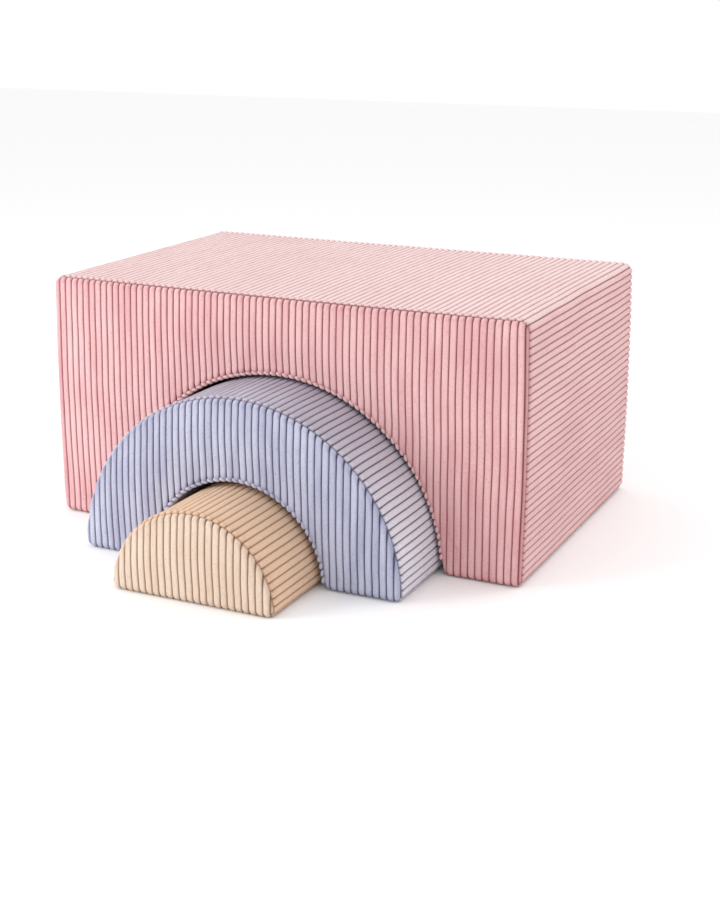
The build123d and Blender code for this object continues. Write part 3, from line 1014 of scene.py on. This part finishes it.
def woven(name, colour, threads, roughness=0.85, metal=0.0):
    """Plain woven stuff: fine threads both ways, a little uneven in colour."""
    material, sums, surface = new_material(name)
    weave = cloud(sums, threads, 1.0, (1.0, 1.0, 1.0), 0.4)
    worn = cloud(sums, 14.0, 3.0)
    tint = tuple(channel * 0.72 for channel in colour[:3]) + (1.0,)
    share = sums.add(sums.times(weave, 0.5), sums.times(worn, 0.3))
    sums.feed(surface.inputs["Base Color"], blend_colours(sums, share, colour, tint))
    surface.inputs["Roughness"].default_value = roughness
    surface.inputs["Metallic"].default_value = metal
    bump = sums.node("ShaderNodeBump")
    bump.inputs["Strength"].default_value = 0.3
    bump.inputs["Distance"].default_value = 0.0003
    sums.feed(bump.inputs["Height"], weave)
    sums.feed(surface.inputs["Normal"], bump.outputs[0])
    return material


SHARED_FINISHES = {
    "foam_core": woven("open-cell foam", shade(236, 228, 200), 900.0, 0.95),
    "inner_liner": woven("white liner cloth", shade(240, 238, 234), 1400.0),
    "care_label": woven("white satin label", shade(244, 242, 238), 1800.0, 0.55),
    "zip_stops": woven("zip metal", shade(176, 176, 180), 300.0, 0.35, 1.0),
    "zip_slider": woven("painted slider", shade(178, 178, 182), 260.0, 0.38, 1.0),
    "zip_pull": woven("painted pull", shade(182, 182, 186), 260.0, 0.36, 1.0),
}
TAPES = {
    "block": woven("pink zip tape", shade(206, 150, 152), 1600.0),
    "arch": woven("blue zip tape", shade(140, 140, 166), 1600.0),
    "half_round": woven("sand zip tape", shade(196, 164, 138), 1600.0),
}
THREADS = {
    "block": woven("pink thread", shade(168, 108, 112), 2200.0, 0.7),
    "arch": woven("blue thread", shade(112, 108, 136), 2200.0, 0.7),
    "half_round": woven("sand thread", shade(160, 126, 102), 2200.0, 0.7),
}
COIL = woven("nylon coil", shade(214, 208, 206), 700.0, 0.45)


def finish_of(node):
    """The finish of a CAD node that stays in view, or None where a cover stands for it."""
    body = next(key for key in THREADS if node.startswith(key))
    finishes = {**SHARED_FINISHES, "zip_tapes": TAPES[body], "seam_thread": THREADS[body]}
    return next((finish for part, finish in finishes.items() if part in node), None)


def dress_carried_nodes():
    """Gives every CAD node that stays in view its own finish."""
    for name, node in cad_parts.items():
        finish = finish_of(name)
        if finish:
            node.data.materials.clear()
            node.data.materials.append(finish)


# --- Making the covers ----------------------------------------------------------------

WALES = wales_tree()
ROW = row_tree()


def row_of_pieces(name, shape, lines, slot, material, **sizes):
    """One mesh of small lengths set along these lines of points."""
    vertices, edges = [], []
    for line in lines:
        first = len(vertices)
        vertices.extend(zip(*(part.tolist() for part in line)))
        edges.extend((k, k + 1) for k in range(first, len(vertices) - 1))
    mesh = bpy.data.meshes.new(name)
    mesh.from_pydata(vertices, edges, [])
    row = bpy.data.objects.new(name, mesh)
    bpy.context.scene.collection.objects.link(row)
    modifier = row.modifiers.new("row", "NODES")
    modifier.node_group = ROW
    set_inputs(modifier, cloth=material, **sizes)
    made = settled(row)
    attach(made, shape.body)
    return made


def thread_row(name, shape, lines, **sizes):
    row_of_pieces(name, shape, lines, shape.dye + "_thread", THREADS[shape.body], **sizes)


def zip_rows(shape):
    """The turns of both coil halves, and the stitches that hold the tapes."""
    body, slit = shape.body, SLITS[shape.body]
    lowest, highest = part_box(body + "_zip_coils")
    depth = (lowest[1] + highest[1]) / 2
    turns, seams = [], []
    for side in (-1, 1):
        middle = side * (COIL_INNER + COIL_OUTER) / 2
        x, z = slit.line(middle, slit.teeth_length, ZIP_LINE_POINTS)
        turns.append((x, np.full_like(x, depth), z))
        seam = side * (SLOT_HALF + STITCH_IN_TAPE)
        x, z = slit.line(seam, 2 * slit.half_length - 2 * STITCHES_STOP_SHORT, ZIP_LINE_POINTS)
        seams.append((x, np.full_like(x, shape.ends.back + STITCH_STANDS_OFF), z))
    teeth = row_of_pieces(
        body + "_zip_teeth", shape, turns, "zip_coil", COIL, pitch=TOOTH_PITCH,
        length=TOOTH_LENGTH, width=COIL_OUTER - COIL_INNER, height=highest[1] - lowest[1],
    )
    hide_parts(body + "_zip_coils")
    thread_row(body + "_zip_stitches", shape, seams)


def hollow_beads(shape, radius, cloth):
    """The ends of the lining's wales, turned over the seam round a hollow's edge."""
    turn = np.linspace(-BEAD_REACH, BEAD_REACH, BEAD_LINE_POINTS)
    reach = radius + BEAD_SINK
    for place, y in (
        ("front", shape.ends.front + BEAD_DEPTH),
        ("back", shape.ends.back - BEAD_DEPTH),
    ):
        line = (reach * np.sin(turn), np.full_like(turn, y), reach * np.cos(turn))
        row_of_pieces(
            f"{shape.body}_{place}_hollow_beads", shape, [line], shape.dye + "_corduroy",
            CLOTHS[cloth], **BEAD_SIZE, slant=BEAD_SLANT, sides=BEAD_SIDES,
        )


def label_stitches(shape):
    """A line of stitches round the sewn-on label."""
    lowest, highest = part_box(shape.body + "_care_label")
    left, right = lowest[0] + LABEL_STITCH_INSET, highest[0] - LABEL_STITCH_INSET
    base, top = lowest[2] + LABEL_STITCH_INSET, highest[2] - LABEL_STITCH_INSET
    x = np.array([left, right, right, left, left])
    z = np.array([base, base, top, top, base])
    line = (x, np.full_like(x, highest[1] + STITCH_STANDS_OFF), z)
    thread_row(shape.body + "_label_stitches", shape, [line], length=LABEL_STITCH_LENGTH)


def corduroy_panel(sheet, shape, cloth, node, phase, changes):
    """Grows the wales on a sheet and puts it in place of the plain panel."""
    modifier = sheet.modifiers.new("wales", "NODES")
    modifier.node_group = WALES
    set_inputs(modifier, cloth=CLOTHS[f"{shape.dye}_{cloth}"], phase=phase, **changes)
    panel = settled(sheet)
    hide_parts(f"{shape.body}_{node}")
    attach(panel, shape.body)


def cover_face(shape, name, node, facing, seed, side=0, drift=DRIFT, **changes):
    """A front or back panel in place of a CAD node; changes are the wales' own sizes."""
    sheet = face_sheet(f"{shape.body}_{name}", shape, facing, seed, side, drift)
    corduroy_panel(sheet, shape, "face", node, FACE_PHASE * seed, changes)


def cover_band(shape, name, node, section, seed, swell, drift=DRIFT, **changes):
    """A band, lining or foot panel in place of a CAD node."""
    sheet = band_sheet(f"{shape.body}_{name}", shape, section, seed, swell, drift)
    corduroy_panel(sheet, shape, "band", node, BAND_PHASE * seed, changes)


def cover_foot(shape, name, node, left, right):
    """A panel pressed flat on the floor, with no roll at its seams."""
    section = foot_section(left, right)
    cover_band(
        shape, name, node, section, 2.0, swell=0.0, drift=FOOT_DRIFT,
        seam_roll=0.0, unevenness=0.0,
    )


def cover_feet(shape, outer, inner):
    """Both feet beside a hollow, between these distances from the middle."""
    cover_foot(shape, "foot_cover_left", "foot_panel_left", -outer, -inner)
    cover_foot(shape, "foot_cover_right", "foot_panel_right", inner, outer)


def corner_turn(radius, side):
    """The angle at which a foot corner runs into the arc beside it."""
    return math.degrees(math.asin(FOOT_RADIUS / (radius + side * FOOT_RADIUS)))


def outer_arc_section(radius):
    """Up one side, over the arc and down the other, from foot seam to foot seam."""
    centre, turn = corner_beside(radius, -1), corner_turn(radius, -1)
    return [
        Arc(-centre, FOOT_RADIUS, FOOT_RADIUS, 210, 180 - turn, False),
        Arc(0, 0, radius, 180 - turn, turn, False),
        Arc(centre, FOOT_RADIUS, FOOT_RADIUS, turn, -30, False),
    ]


def inner_arc_section(radius):
    """The lining of a half-round hollow, wound so that it faces the hollow."""
    centre, turn = corner_beside(radius, 1), corner_turn(radius, 1)
    return [
        Arc(centre, FOOT_RADIUS, FOOT_RADIUS, 210, 180 + turn, False),
        Arc(0, 0, radius, turn, 180 - turn, True),
        Arc(-centre, FOOT_RADIUS, FOOT_RADIUS, -turn, -30, False),
    ]


def block_band_section():
    foot, fold = BLOCK_HALF - FOOT_RADIUS, BLOCK_HALF - FOLD_RADIUS
    shoulder = BLOCK_HEIGHT - FOLD_RADIUS
    return [
        Arc(-foot, FOOT_RADIUS, FOOT_RADIUS, 210, 180, False),
        Run(-BLOCK_HALF, FOOT_RADIUS, -BLOCK_HALF, shoulder, -1, 0),
        Arc(-fold, shoulder, FOLD_RADIUS, 180, 90, False),
        Run(-fold, BLOCK_HEIGHT, fold, BLOCK_HEIGHT, 0, 1),
        Arc(fold, shoulder, FOLD_RADIUS, 90, 0, False),
        Run(BLOCK_HALF, shoulder, BLOCK_HALF, FOOT_RADIUS, 1, 0),
        Arc(foot, FOOT_RADIUS, FOOT_RADIUS, 0, -30, False),
    ]


def foot_section(left, right):
    """From the seam on the right of a foot, along the floor, to the seam on its left."""
    return [
        Arc(right, FOOT_RADIUS, FOOT_RADIUS, -30, -90, False),
        Run(right, 0, left, 0, 0, -1),
        Arc(left, FOOT_RADIUS, FOOT_RADIUS, 270, 210, False),
    ]


def cover_block():
    lining = inner_arc_section(TUNNEL_RADIUS)
    cover_face(BLOCK, "front_cover", "front_panel", FRONT, 1.0, drift=0.0007)
    cover_face(BLOCK, "back_cover_upper", "back_panel_upper", BACK, 2.0, side=1)
    cover_face(BLOCK, "back_cover_lower", "back_panel_lower", BACK, 2.0, side=-1)
    cover_band(BLOCK, "outer_cover", "outer_band", block_band_section(), 1.3, BAND_SWELL)
    cover_band(BLOCK, "tunnel_cover", "tunnel_lining", lining, 1.7, LINING_SWELL)
    cover_feet(BLOCK, BLOCK_HALF - FOOT_RADIUS, corner_beside(TUNNEL_RADIUS, 1))


def cover_arch():
    over, under = outer_arc_section(ARCH_RADIUS), inner_arc_section(HOLLOW_RADIUS)
    cover_face(ARCH, "front_cover", "front_panel", FRONT, 3.0, wale_crown=0.0012)
    cover_face(ARCH, "back_cover_outer", "back_panel_outer", BACK, 4.0, side=1, drift=0.0)
    cover_face(ARCH, "back_cover_inner", "back_panel_inner", BACK, 4.0, side=-1, drift=0.0)
    cover_band(ARCH, "outer_cover", "outer_band", over, 2.3, LINING_SWELL)
    cover_band(ARCH, "inner_cover", "inner_band", under, 2.7, LINING_SWELL)
    cover_feet(ARCH, corner_beside(ARCH_RADIUS, -1), corner_beside(HOLLOW_RADIUS, 1))


def cover_half_round():
    over, far = outer_arc_section(HALF_ROUND_RADIUS), corner_beside(HALF_ROUND_RADIUS, -1)
    cover_face(HALF_ROUND, "front_cover", "front_panel", FRONT, 5.0)
    cover_face(HALF_ROUND, "back_cover_upper", "back_panel_upper", BACK, 6.0, side=1)
    cover_face(HALF_ROUND, "back_cover_lower", "back_panel_lower", BACK, 6.0, side=-1)
    cover_band(HALF_ROUND, "outer_cover", "outer_band", over, 3.3, LINING_SWELL)
    cover_foot(HALF_ROUND, "base_cover", "base_panel", -far, far)


cover_block()
cover_arch()
cover_half_round()
for piece in (BLOCK, ARCH, HALF_ROUND):
    zip_rows(piece)
hollow_beads(BLOCK, TUNNEL_RADIUS, "pink_band")
hollow_beads(ARCH, HOLLOW_RADIUS, "blue_face")
for piece in (BLOCK, ARCH, HALF_ROUND):
    label_stitches(piece)
dress_carried_nodes()

# --- Floor, light and camera ----------------------------------------------------------


def set_floor():
    mesh = bpy.data.meshes.new("floor")
    corners = [(-8, -8, 0), (8, -8, 0), (8, 8, 0), (-8, 8, 0)]
    mesh.from_pydata(corners, [], [(0, 1, 2, 3)])
    floor = bpy.data.objects.new("floor", mesh)
    bpy.context.scene.collection.objects.link(floor)
    material, _, surface = new_material("pale floor")
    surface.inputs["Base Color"].default_value = (0.95, 0.95, 0.95, 1.0)
    surface.inputs["Roughness"].default_value = 0.9
    mesh.materials.append(material)


def soft_light(name, place, target, size, power):
    lamp = bpy.data.lights.new(name, "AREA")
    lamp.shape = "DISK"
    lamp.size = size
    lamp.energy = power
    light = bpy.data.objects.new(name, lamp)
    light.location = place
    aim = np.array(target) - np.array(place)
    flat = math.hypot(aim[0], aim[1])
    light.rotation_euler = (math.atan2(flat, -aim[2]), 0.0, math.atan2(-aim[0], aim[1]))
    bpy.context.scene.collection.objects.link(light)


def light_studio():
    world = bpy.data.worlds.new("studio")
    world.use_nodes = True
    background = world.node_tree.nodes["Background"]
    background.inputs["Color"].default_value = (1.0, 1.0, 1.0, 1.0)
    background.inputs["Strength"].default_value = 1.0
    bpy.context.scene.world = world
    soft_light("key", (-1.8, -1.6, 1.0), (-0.1, 0.0, 0.2), 1.5, 32)
    soft_light("overhead", (1.1, 0.5, 2.4), (0.0, 0.0, 0.2), 1.8, 12)
    bpy.context.scene.view_settings.view_transform = "Standard"


def place_camera():
    """At a child's eye height, in front of the set's right-hand end, looking down a little."""
    lens = bpy.data.cameras.new("camera")
    lens.lens = 62.06
    lens.sensor_width = 36.0
    lens.shift_x = 0.0189
    lens.shift_y = -0.0778
    camera = bpy.data.objects.new("camera", lens)
    camera.location = (1.0196, -1.9923, 0.7929)
    camera.rotation_euler = (math.radians(75.69), 0.0, math.radians(26.03))
    bpy.context.scene.collection.objects.link(camera)
    bpy.context.scene.camera = camera


set_floor()
light_studio()
place_camera()
